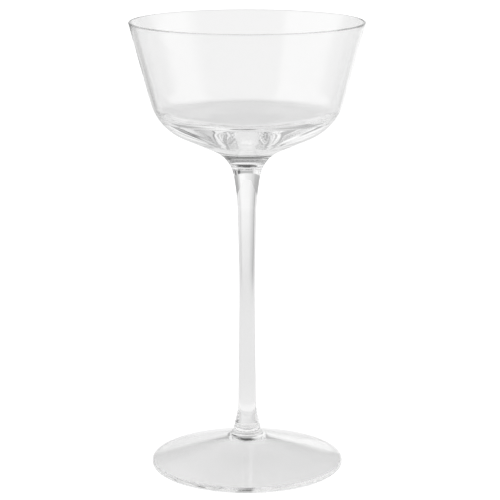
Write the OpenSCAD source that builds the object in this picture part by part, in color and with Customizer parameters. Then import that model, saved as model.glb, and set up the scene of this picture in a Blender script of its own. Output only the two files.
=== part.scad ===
// A stemmed cocktail glass in clear glass: a thin bowl on a heavy base, a drawn stem and a thin coned foot,
// three pieces fused end to end on rounded seats.
// Millimetres, +Z up, origin on the table under the axis of the stem.

/* [Overall] */
// Height from the table to the rim
glass_h = 178; // [150:1:210]

/* [Bowl] */
// Outside diameter at the rim
rim_d = 91.7; // [80:0.1:105]
// Thickness of the wall at the rim
rim_t = 1.1; // [0.8:0.1:2]
// Thickness of the wall at the foot of the straight side
side_t = 1.5; // [1:0.1:3]
// Height of the straight side, down to the corner it would have if it were sharp
side_h = 40.6; // [34:0.1:48]
// Outside diameter at that corner
shoulder_d = 70; // [60:0.5:78]
// Radius that rounds the corner outside
shoulder_r = 20.5; // [12:0.5:26]
// Slope of the underside, in degrees from level
under_slope = 24; // [18:0.5:30]
// Rise from the corner of the shoulder to the edge of the well's floor
floor_edge_rise = 3.9; // [2:0.1:5]
// Height of the flank between the floor's edge and the straight side
flank_h = 3; // [2:0.1:5]
// Slope of that flank, in degrees from level
flank_slope = 55; // [40:0.5:62]
// Slope of the floor of the well, in degrees from level
well_slope = 12.5; // [8:0.5:16]
// Radius of the dish in the middle of the floor
well_dish_r = 40; // [20:1:80]

/* [Stem] */
// Diameter at the corner under the bowl, if that were sharp
neck_d = 12.4; // [10.5:0.1:13.5]
// Radius of the flare under the bowl
neck_flare_r = 14; // [10:0.5:16]
// Diameter at the throat, where the drawn-out end under the bowl runs into the long taper
throat_d = 7.6; // [7:0.1:9]
// Drop from the corner under the bowl to the throat
throat_drop = 16; // [14:0.5:20]
// Radius of the curve at the throat
throat_r = 80; // [40:10:100]
// Diameter at the waist
waist_d = 6; // [5:0.1:6.4]
// Drop from the throat to the waist
waist_drop = 34.5; // [25:0.5:50]
// Radius of the long curve through the waist
waist_r = 400; // [200:10:600]
// Diameter where the stem starts to widen towards the foot
ankle_d = 7.2; // [6.5:0.1:8]
// Height of that place above the heel
ankle_rise = 10; // [8:0.5:14]
// Radius of the curve there
ankle_r = 30; // [15:1:40]
// Diameter at the corner between stem and foot, if that were sharp
heel_d = 12.2; // [10:0.1:14]
// Radius that fills this corner
heel_r = 5; // [2:0.1:6]

/* [Foot] */
// Outside diameter
foot_d = 76.5; // [66:0.5:88]
// Thickness at the edge, before it is rounded
foot_edge_t = 2.2; // [1.8:0.1:3.5]
// Slope of the cone on top, in degrees from level
foot_slope = 17; // [12:0.1:20]
// Slope of the hollow underneath, in degrees from level
hollow_slope = 17; // [12:0.1:18]
// Radius that rounds the top of the hollow
hollow_crown_r = 30; // [10:1:40]
// Width of the flat ring that stands on the table
rest_w = 0.6; // [0.4:0.1:3]
// Radius that eases this ring into the hollow
rest_ease_r = 0.8; // [0.4:0.1:2]

/* [Joints] */
// Drop from the sharp corner under the bowl to the edge of the upper joint
neck_joint_drop = 2.9; // [1.5:0.1:5]
// Rise from the sharp corner at the heel to the edge of the lower joint
heel_joint_rise = 2; // [1:0.1:4]
// How far a rounded end stands in its dished seat
seat_sag = 1; // [0.5:0.1:2]
// Radius across the crease that runs round each joint
crease_r = 0.5; // [0.3:0.05:0.8]
// Depth of that crease
crease_depth = 0.15; // [0.05:0.05:0.25]

/* [Hidden] */

// Facets round a full turn
$fn = 180;
// Widest angle between neighbouring points on a rounded corner, in degrees
arc_step = 2.5;
// Fewest steps in a rounded corner
arc_steps_min = 6;
// Share of the rim's width that its two rounded corners take up
rim_round_share = 0.96;
// Share of the flank that the rounding at its lower end takes up
flank_low_share = 0.53;
// Share of the flank that the rounding at its upper end takes up
flank_high_share = 0.44;
// Share of the foot's edge that its two rounded corners take up
foot_round_share = 0.85;

shoulder_z = glass_h - side_h;
neck_z = shoulder_z - (shoulder_d - neck_d) / 2 * tan(under_slope);
heel_z = foot_edge_t + (foot_d - heel_d) / 2 * tan(foot_slope);
ankle_z = heel_z + ankle_rise;
throat_z = neck_z - throat_drop;
waist_z = throat_z - waist_drop;
neck_joint_z = neck_z - neck_joint_drop;
heel_joint_z = heel_z + heel_joint_rise;

// The inside of the wall leans in from the rim, then breaks into the flank and into the floor of the well
outer_lean = atan((rim_d - shoulder_d) / 2 / side_h);
side_lean = (rim_d / 2 - rim_t - shoulder_d / 2 + side_t) / side_h;
wall_slope = 90 - atan(side_lean);
flank_rise = floor_edge_rise + flank_h;
flank_top = [shoulder_d / 2 - side_t + flank_rise * side_lean, shoulder_z + flank_rise];
floor_edge = flank_top - [flank_h / tan(flank_slope), flank_h];
flank_l = norm(flank_top - floor_edge);
flank_low_r = flank_l * flank_low_share / tan((flank_slope - well_slope) / 2);
flank_high_r = flank_l * flank_high_share / tan((wall_slope - flank_slope) / 2);
well_z = floor_edge.y - floor_edge.x * tan(well_slope) + well_dish_r * (1 / cos(well_slope) - 1);
rim_round = rim_t * rim_round_share / (tan(wall_slope / 2) + tan((90 + outer_lean) / 2));

// The hollow is a cone under the foot, with a rounded top
foot_round = foot_edge_t * foot_round_share / (1 + tan((90 - foot_slope) / 2));
rest_r = foot_d / 2 - foot_round - rest_w;
hollow_crown_z = rest_r * tan(hollow_slope) - hollow_crown_r / cos(hollow_slope);

function unit(v) = v / norm(v);
function turned(v, a) = [v.x * cos(a) - v.y * sin(a), v.x * sin(a) + v.y * cos(a)];
function steps_for(a) = max(arc_steps_min, ceil(abs(a) / arc_step));

// Points along an arc from one angle to another, measured at its centre
function arc(centre, r, from, to) =
    let (n = steps_for(to - from))
    [for (i = [0 : n]) centre + r * [cos(from + (to - from) * i / n), sin(from + (to - from) * i / n)]];

// Points along the arc that rounds the corner b on the way from a to c
function rounded(a, b, c, r) =
    let (
        u = unit(a - b),
        v = unit(c - b),
        half = acos(u * v) / 2,
        centre = b + unit(u + v) * r / sin(half),
        first = b + u * r / tan(half) - centre,
        turn = -sign(cross(u, v)) * (180 - 2 * half),
        n = steps_for(turn)
    )
    [for (i = [0 : n]) centre + turned(first, turn * i / n)];

// A path through points p with the corner at each inner point rounded to its radius in r
function rounded_path(p, r) =
    [for (i = [1 : len(p) - 2]) each rounded(p[i - 1], p[i], p[i + 1], r[i - 1])];

// Half section of the whole glass, in the order it is walked: well, wall, outside, underside
well_floor = arc([0, well_z + well_dish_r], well_dish_r, -90, -90 + well_slope);
wall = rounded_path(
    [
        well_floor[len(well_floor) - 1],
        floor_edge,
        flank_top,
        [rim_d / 2 - rim_t, glass_h],
        [rim_d / 2, glass_h],
        [shoulder_d / 2, shoulder_z],
        [neck_d / 2, neck_z]
    ],
    [flank_low_r, flank_high_r, rim_round, rim_round, shoulder_r]
);
stem_side = rounded_path(
    [
        [shoulder_d / 2, shoulder_z],
        [neck_d / 2, neck_z],
        [throat_d / 2, throat_z],
        [waist_d / 2, waist_z],
        [ankle_d / 2, ankle_z],
        [heel_d / 2, heel_z],
        [foot_d / 2, foot_edge_t]
    ],
    [neck_flare_r, throat_r, waist_r, ankle_r, heel_r]
);
hollow_top = arc([0, hollow_crown_z], hollow_crown_r, 90 - hollow_slope, 90);
foot_edge = rounded_path(
    [
        [heel_d / 2, heel_z],
        [foot_d / 2, foot_edge_t],
        [foot_d / 2, 0],
        [rest_r, 0],
        hollow_top[0]
    ],
    [foot_round, foot_round, rest_ease_r]
);

// Radius of the stem where a joint goes round it
function joint_r(z) = lookup(z, [for (p = stem_side) [p.y, p.x]]);

module crease(z)
    translate([joint_r(z) + crease_r - crease_depth, z])
        circle(crease_r);

module section()
    difference() {
        polygon(concat(well_floor, wall, stem_side, foot_edge, hollow_top));
        crease(neck_joint_z);
        crease(heel_joint_z);
    }

// The rounded end of the upper piece at a joint, which its dished seat matches
module rounded_end(z) {
    end_r = (joint_r(z) * joint_r(z) + seat_sag * seat_sag) / (2 * seat_sag);
    translate([0, z - seat_sag + end_r])
        circle(end_r);
}

module above(z)
    translate([0, z])
        square([rim_d + foot_d, glass_h]);

module below(z)
    translate([0, z - glass_h])
        square([rim_d + foot_d, glass_h]);

module bowl()
    color([0.80, 0.89, 0.93, 0.55])
        rotate_extrude()
            intersection() {
                section();
                union() {
                    above(neck_joint_z);
                    rounded_end(neck_joint_z);
                }
            }

module stem()
    color([0.70, 0.84, 0.88, 0.55])
        rotate_extrude()
            difference() {
                intersection() {
                    section();
                    below(neck_joint_z);
                    union() {
                        above(heel_joint_z);
                        rounded_end(heel_joint_z);
                    }
                }
                rounded_end(neck_joint_z);
            }

module foot()
    color([0.76, 0.87, 0.90, 0.55])
        rotate_extrude()
            difference() {
                intersection() {
                    section();
                    below(heel_joint_z);
                }
                rounded_end(heel_joint_z);
            }

bowl();
stem();
foot();
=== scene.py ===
import math

import bpy
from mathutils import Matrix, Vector


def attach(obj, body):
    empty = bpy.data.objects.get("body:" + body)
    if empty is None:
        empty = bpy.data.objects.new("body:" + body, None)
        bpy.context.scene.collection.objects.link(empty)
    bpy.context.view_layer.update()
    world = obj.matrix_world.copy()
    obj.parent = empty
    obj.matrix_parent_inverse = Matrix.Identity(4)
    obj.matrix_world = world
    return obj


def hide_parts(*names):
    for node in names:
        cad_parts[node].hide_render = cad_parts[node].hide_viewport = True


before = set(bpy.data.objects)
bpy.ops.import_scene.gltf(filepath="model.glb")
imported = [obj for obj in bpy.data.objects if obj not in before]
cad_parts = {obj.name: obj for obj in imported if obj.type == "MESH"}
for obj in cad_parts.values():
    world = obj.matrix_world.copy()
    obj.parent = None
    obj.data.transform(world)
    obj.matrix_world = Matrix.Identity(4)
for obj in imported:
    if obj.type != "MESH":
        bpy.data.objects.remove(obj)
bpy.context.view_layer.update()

PIECES = ("bowl", "stem", "foot")
# Points closer than this are one point, in metres, and the same as digits after the decimal point
TOUCH = 1e-6
DIGITS = 6
# Facets round a full turn
TURNS = 240
# Edges that turn more than this stay sharp
CREASE_ANGLE = math.radians(35)

GLASS_IOR = 1.52
# Light goes to and fro many times inside the heavy base and the stem
BOUNCES = 192
# Faint waves in the glass: features to a metre across and along the axis, and the height of a wave
WAVES = {
    "bowl": (70.0, 70.0, 0.00006),
    "stem": (260.0, 26.0, 0.00002),
    "foot": (70.0, 70.0, 0.00006),
}
WAVE_DETAIL = 1.0
# Small ripples round the fused joints: features to a metre, height, and reach above and below
RIPPLES = 900.0
RIPPLE_DETAIL = 2.0
RIPPLE_HEIGHT = 0.00003
RIPPLE_REACH = (0.0004, 0.0016)

# Camera, in metres and pixels
IMAGE_PX = 500
FOCAL_PX = 1963.4
SENSOR_MM = 36.0
CAMERA_PLACE = Vector((0.00115, -0.756, 0.2581))
CAMERA_DROP = math.radians(12.70)
CAMERA_CLIP = (0.01, 50.0)

WHITE = (1, 1, 1, 1)
# Light round the glass, as (share of a turn, level). The turn starts and ends on the camera's side,
# 0.25 is to the left of the glass, 0.5 behind it and 0.75 to the right
LOW_LIGHT = [
    (0.00, 0.45), (0.10, 0.45), (0.13, 1.00), (0.24, 1.05), (0.33, 0.40), (0.41, 0.48), (0.45, 0.70),
    (0.47, 0.82), (0.50, 0.90), (0.53, 1.00), (0.56, 1.00), (0.58, 0.74), (0.61, 0.45), (0.68, 0.35),
    (0.74, 0.45), (1.00, 0.45),
]
MID_LIGHT = [
    (0.00, 0.30), (0.10, 0.30), (0.13, 1.00), (0.36, 1.05), (0.375, 0.70), (0.39, 1.05), (0.44, 0.90),
    (0.46, 0.50), (0.55, 0.50), (0.562, 0.12), (0.582, 0.12), (0.594, 0.75), (0.602, 0.75),
    (0.614, 0.12), (0.645, 0.12), (0.66, 1.05), (0.80, 1.05), (0.86, 0.30), (1.00, 0.30),
]
HIGH_LIGHT = [
    (0.00, 0.35), (0.08, 0.35), (0.13, 0.90), (0.24, 0.90), (0.30, 0.05),
    (0.70, 0.05), (0.76, 0.80), (0.84, 0.80), (0.90, 0.35), (1.00, 0.35),
]
TOP_LIGHT = 0.05
# Where low light turns into middle, high and top light, as heights on a unit sphere
LOW_TO_MID = (0.17, 0.23)
MID_TO_HIGH = (0.78, 0.90)
HIGH_TO_TOP = (0.95, 0.99)

FLOOR_RADIUS = 6.0
FLOOR_SIDES = 96
# The floor lies this far under the foot, so that the two faces are not in one plane
FLOOR_GAP = 0.00015
# The floor's own colour, and the light that is added to it for the camera
FLOOR_COLOUR = 0.60
FLOOR_TO_CAMERA = 0.85
# Painted light that is added to the floor for rays that come by way of the glass, as (metres from its
# axis, level): a painted pool of light round the axis that evens out the glass's own shadow, dimmer
# further out and brighter far off, seen in and through the glass
PAINTED_FLOOR_LIGHT_OUT = [
    (0.00, 0.51), (0.02, 0.57), (0.035, 0.60), (0.055, 0.58), (0.08, 0.49), (0.12, 0.46), (0.19, 0.46),
    (0.27, 0.445), (0.35, 0.445), (0.45, 0.495), (0.56, 0.56), (0.72, 0.635), (1.00, 0.64),
]
# Painted shade on the floor round the glass, told as for the light, and the distances over which this
# sets in: darker sectors and bands, in the floor's colour and in its painted light, that the glass shows
# as dark edges
PAINTED_FLOOR_SHADE_ROUND = [
    (0.00, 1.00), (0.05, 0.95), (0.09, 0.80), (0.125, 1.00), (0.16, 0.80), (0.20, 0.95), (0.25, 1.00),
    (0.30, 0.95), (0.34, 0.88), (0.37, 0.84), (0.395, 0.45), (0.42, 0.68), (0.456, 0.84), (0.48, 0.97),
    (0.56, 1.00), (0.60, 0.80), (0.62, 0.80), (0.64, 0.95), (0.66, 0.80), (0.70, 0.95), (0.75, 1.00),
    (0.80, 0.95), (0.84, 0.80), (0.875, 1.00), (0.91, 0.80), (0.95, 0.95), (1.00, 1.00),
]
PAINTED_SHADE_REACH = (0.22, 0.42)


def half_section(node):
    """A node's outline as (radius, height), from its upper end on the axis to its lower end."""
    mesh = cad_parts[node].data
    links = {}
    for edge in mesh.edges:
        ends = [mesh.vertices[i].co for i in edge.vertices]
        if all(abs(p.y) < TOUCH and p.x > -TOUCH for p in ends):
            a, b = [(round(max(p.x, 0), DIGITS), round(p.z, DIGITS)) for p in ends]
            if a != b:
                links.setdefault(a, set()).add(b)
                links.setdefault(b, set()).add(a)
    on_axis = sorted((p for p in links if p[0] < TOUCH), key=lambda p: -p[1])
    path = [on_axis[0]]
    while len(path) == 1 or path[-1] != on_axis[-1]:
        onward = [p for p in links[path[-1]] if p not in path]
        path.append(onward[0])
    return path


def lathe(name, path, seam_points, materials):
    """Turns an outline round the Z axis. Faces between two seam points take the second material."""
    verts, faces, marks, rings = [], [], [], []
    for r, z in path:
        if r < TOUCH:
            rings.append([len(verts)])
            verts.append((0, 0, z))
        else:
            rings.append(list(range(len(verts), len(verts) + TURNS)))
            for i in range(TURNS):
                a = 2 * math.pi * i / TURNS
                verts.append((r * math.cos(a), r * math.sin(a), z))
    for (p, q), (here, onward) in zip(zip(path, path[1:]), zip(rings, rings[1:])):
        seam = p in seam_points and q in seam_points
        for i in range(TURNS):
            j = (i + 1) % TURNS
            if len(here) == 1:
                face = (here[0], onward[i], onward[j])
            elif len(onward) == 1:
                face = (here[i], onward[0], here[j])
            else:
                face = (here[i], onward[i], onward[j], here[j])
            faces.append(face)
            marks.append(1 if seam else 0)
    mesh = bpy.data.meshes.new(name)
    mesh.from_pydata(verts, [], faces)
    for material in materials:
        mesh.materials.append(material)
    mesh.polygons.foreach_set("material_index", marks)
    mesh.polygons.foreach_set("use_smooth", [True] * len(faces))
    mesh.set_sharp_from_angle(angle=CREASE_ANGLE)
    mesh.update()
    obj = bpy.data.objects.new(name, mesh)
    bpy.context.scene.collection.objects.link(obj)
    return obj


class Nodes:
    """Adds nodes to the emptied tree of a material or world."""

    def __init__(self, owner):
        owner.use_nodes = True
        self.tree = owner.node_tree
        self.tree.nodes.clear()

    def add(self, kind, **settings):
        node = self.tree.nodes.new("ShaderNode" + kind)
        for name, value in settings.items():
            setattr(node, name, value)
        return node

    def join(self, source, target):
        self.tree.links.new(source, target)

    def put(self, value, socket):
        """Sets a socket to a number or links it to another node's output."""
        if isinstance(value, bpy.types.NodeSocket):
            self.join(value, socket)
        else:
            socket.default_value = value

    def math(self, operation, *values):
        node = self.add("Math", operation=operation)
        for value, socket in zip(values, node.inputs):
            self.put(value, socket)
        return node.outputs["Value"]

    def eased(self, value, span, low=0.0, high=1.0):
        """Goes softly from low to high while the value crosses the span."""
        node = self.add("MapRange", interpolation_type="SMOOTHSTEP")
        self.put(value, node.inputs["Value"])
        self.put(span[0], node.inputs["From Min"])
        self.put(span[1], node.inputs["From Max"])
        self.put(low, node.inputs["To Min"])
        self.put(high, node.inputs["To Max"])
        return node.outputs["Result"]

    def turn(self, x, y):
        """Share of a turn round the Z axis, from the camera's side by way of the left."""
        angle = self.math("ARCTAN2", x, y)
        return self.math("MULTIPLY_ADD", angle, 1 / (2 * math.pi), 0.5)

    def blend(self, share, a, b):
        node = self.add("Mix", data_type="FLOAT")
        self.put(share, node.inputs["Factor"])
        self.put(a, node.inputs["A"])
        self.put(b, node.inputs["B"])
        return node.outputs["Result"]

    def noise(self, place, scale, detail):
        node = self.add("TexNoise")
        self.join(place, node.inputs["Vector"])
        self.put(scale, node.inputs["Scale"])
        self.put(detail, node.inputs["Detail"])
        return node.outputs["Fac"]

    def levels(self, place, stops):
        """A soft ramp of grey levels along the place, which runs from 0 to 1."""
        node = self.add("ValToRGB")
        ramp = node.color_ramp
        ramp.interpolation = "EASE"
        while len(ramp.elements) < len(stops):
            ramp.elements.new(1.0)
        for element, (at, level) in zip(ramp.elements, stops):
            element.position = at
            element.color = (level, level, level, 1)
        self.join(place, node.inputs["Fac"])
        return node.outputs["Color"]


def clear_glass(node, seams):
    """Clear glass with faint waves, drawn out along the stem, and small ripples round each joint."""
    across, along, height = WAVES[node]
    mat = bpy.data.materials.new("clear_glass_" + node)
    n = Nodes(mat)
    point = n.add("TexCoord").outputs["Object"]
    spread = n.add("VectorMath", operation="MULTIPLY")
    n.join(point, spread.inputs[0])
    n.put((across, across, along), spread.inputs[1])
    waves = n.noise(spread.outputs["Vector"], 1.0, WAVE_DETAIL)
    place = n.add("SeparateXYZ")
    n.join(point, place.inputs["Vector"])
    near = 0.0
    for z in seams:
        off = n.math("ABSOLUTE", n.math("SUBTRACT", place.outputs["Z"], z))
        near = n.math("MAXIMUM", near, n.eased(off, RIPPLE_REACH, 1.0, 0.0))
    ripples = n.math("MULTIPLY", n.noise(point, RIPPLES, RIPPLE_DETAIL), near)
    relief = n.math("ADD", n.math("MULTIPLY", waves, height), n.math("MULTIPLY", ripples, RIPPLE_HEIGHT))
    bump = n.add("Bump")
    n.put(1.0, bump.inputs["Strength"])
    n.put(1.0, bump.inputs["Distance"])
    n.join(relief, bump.inputs["Height"])
    shader = n.add("BsdfPrincipled")
    n.put(WHITE, shader.inputs["Base Color"])
    n.put(0.0, shader.inputs["Roughness"])
    n.put(GLASS_IOR, shader.inputs["IOR"])
    n.put(1.0, shader.inputs["Transmission Weight"])
    n.join(bump.outputs["Normal"], shader.inputs["Normal"])
    n.join(shader.outputs["BSDF"], n.add("OutputMaterial").inputs["Surface"])
    return mat


def fused_seam():
    """The faces where two pieces are fused: no light bends there, so they do not show."""
    mat = bpy.data.materials.new("fused_seam")
    n = Nodes(mat)
    shader = n.add("BsdfPrincipled")
    n.put(0.0, shader.inputs["Alpha"])
    n.join(shader.outputs["BSDF"], n.add("OutputMaterial").inputs["Surface"])
    return mat


def pieces():
    """The three pieces of the glass. Points that two outlines share lie on the seam between them."""
    seam = fused_seam()
    paths = {node: half_section(node) for node in PIECES}
    shared = {}
    for node, path in paths.items():
        others = {p for other, q in paths.items() if other != node for p in q}
        shared[node] = {p for p in path if p in others}
    seams = [max(shared[node])[1] for node in ("bowl", "foot")]
    for node, path in paths.items():
        piece = lathe("glass_" + node, path, shared[node], [clear_glass(node, seams), seam])
        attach(piece, "root")
        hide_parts(node)


def floor_material():
    """Pale floor. The camera sees it white; the glass sees painted light and painted shade on it, in
    levels that change outwards and round it, and the floor's colour carries the same painted shade.
    """
    mat = bpy.data.materials.new("floor")
    n = Nodes(mat)
    point = n.add("NewGeometry").outputs["Position"]
    place = n.add("SeparateXYZ")
    n.join(point, place.inputs["Vector"])
    off = n.add("VectorMath", operation="LENGTH")
    n.join(point, off.inputs[0])
    # Painted shade: darker sectors and bands round the glass, from some way out
    painted_shade_round = n.levels(n.turn(place.outputs["X"], place.outputs["Y"]), PAINTED_FLOOR_SHADE_ROUND)
    painted_shade = n.blend(n.eased(off.outputs["Value"], PAINTED_SHADE_REACH), 1.0, painted_shade_round)
    ray = n.add("LightPath")
    by_glass = n.math("MAXIMUM", ray.outputs["Is Glossy Ray"], ray.outputs["Is Transmission Ray"])
    # Painted light: the floor glows by distance from the axis, only for rays that come by way of the
    # glass
    painted_glow = n.levels(off.outputs["Value"], PAINTED_FLOOR_LIGHT_OUT)
    painted_light_by_glass = n.math("MULTIPLY", by_glass, n.math("MULTIPLY", painted_glow, painted_shade))
    painted_light_and_white_lift = n.math("ADD", painted_light_by_glass, n.math("MULTIPLY", ray.outputs["Is Camera Ray"], FLOOR_TO_CAMERA))
    matt = n.add("BsdfDiffuse")
    # The floor's colour carries the painted shade round the glass
    n.join(n.math("MULTIPLY", painted_shade, FLOOR_COLOUR), matt.inputs["Color"])
    # Emits the painted light for the glass, and the white lift for the camera
    light = n.add("Emission")
    n.join(painted_light_and_white_lift, light.inputs["Strength"])
    both = n.add("AddShader")
    n.join(matt.outputs["BSDF"], both.inputs[0])
    n.join(light.outputs["Emission"], both.inputs[1])
    n.join(both.outputs["Shader"], n.add("OutputMaterial").inputs["Surface"])
    return mat


def floor():
    mesh = bpy.data.meshes.new("floor")
    turns = [2 * math.pi * i / FLOOR_SIDES for i in range(FLOOR_SIDES)]
    ring = [(FLOOR_RADIUS * math.cos(a), FLOOR_RADIUS * math.sin(a), -FLOOR_GAP) for a in turns]
    mesh.from_pydata(ring, [], [tuple(range(FLOOR_SIDES))])
    mesh.materials.append(floor_material())
    obj = bpy.data.objects.new("floor", mesh)
    bpy.context.scene.collection.objects.link(obj)


def studio():
    """Soft light from all round, by direction. The camera itself sees white."""
    world = bpy.data.worlds.new("studio")
    bpy.context.scene.world = world
    n = Nodes(world)
    way = n.add("SeparateXYZ")
    n.join(n.add("TexCoord").outputs["Generated"], way.inputs["Vector"])
    share = n.turn(way.outputs["X"], way.outputs["Y"])
    light = n.levels(share, LOW_LIGHT)
    light = n.blend(n.eased(way.outputs["Z"], LOW_TO_MID), light, n.levels(share, MID_LIGHT))
    light = n.blend(n.eased(way.outputs["Z"], MID_TO_HIGH), light, n.levels(share, HIGH_LIGHT))
    light = n.blend(n.eased(way.outputs["Z"], HIGH_TO_TOP), light, TOP_LIGHT)
    ray = n.add("LightPath")
    sky = n.add("Background")
    n.put(WHITE, sky.inputs["Color"])
    n.join(n.blend(ray.outputs["Is Camera Ray"], light, 1.0), sky.inputs["Strength"])
    n.join(sky.outputs["Background"], n.add("OutputWorld").inputs["Surface"])


def camera():
    data = bpy.data.cameras.new("camera")
    data.sensor_width = SENSOR_MM
    data.lens = SENSOR_MM * FOCAL_PX / IMAGE_PX
    data.clip_start, data.clip_end = CAMERA_CLIP
    obj = bpy.data.objects.new("camera", data)
    obj.location = CAMERA_PLACE
    obj.rotation_euler = (math.pi / 2 - CAMERA_DROP, 0, 0)
    bpy.context.scene.collection.objects.link(obj)
    bpy.context.scene.camera = obj


scene = bpy.context.scene
scene.view_settings.view_transform = "Standard"
scene.cycles.max_bounces = BOUNCES
scene.cycles.transmission_bounces = BOUNCES
scene.cycles.glossy_bounces = BOUNCES

camera()
studio()
floor()
pieces()
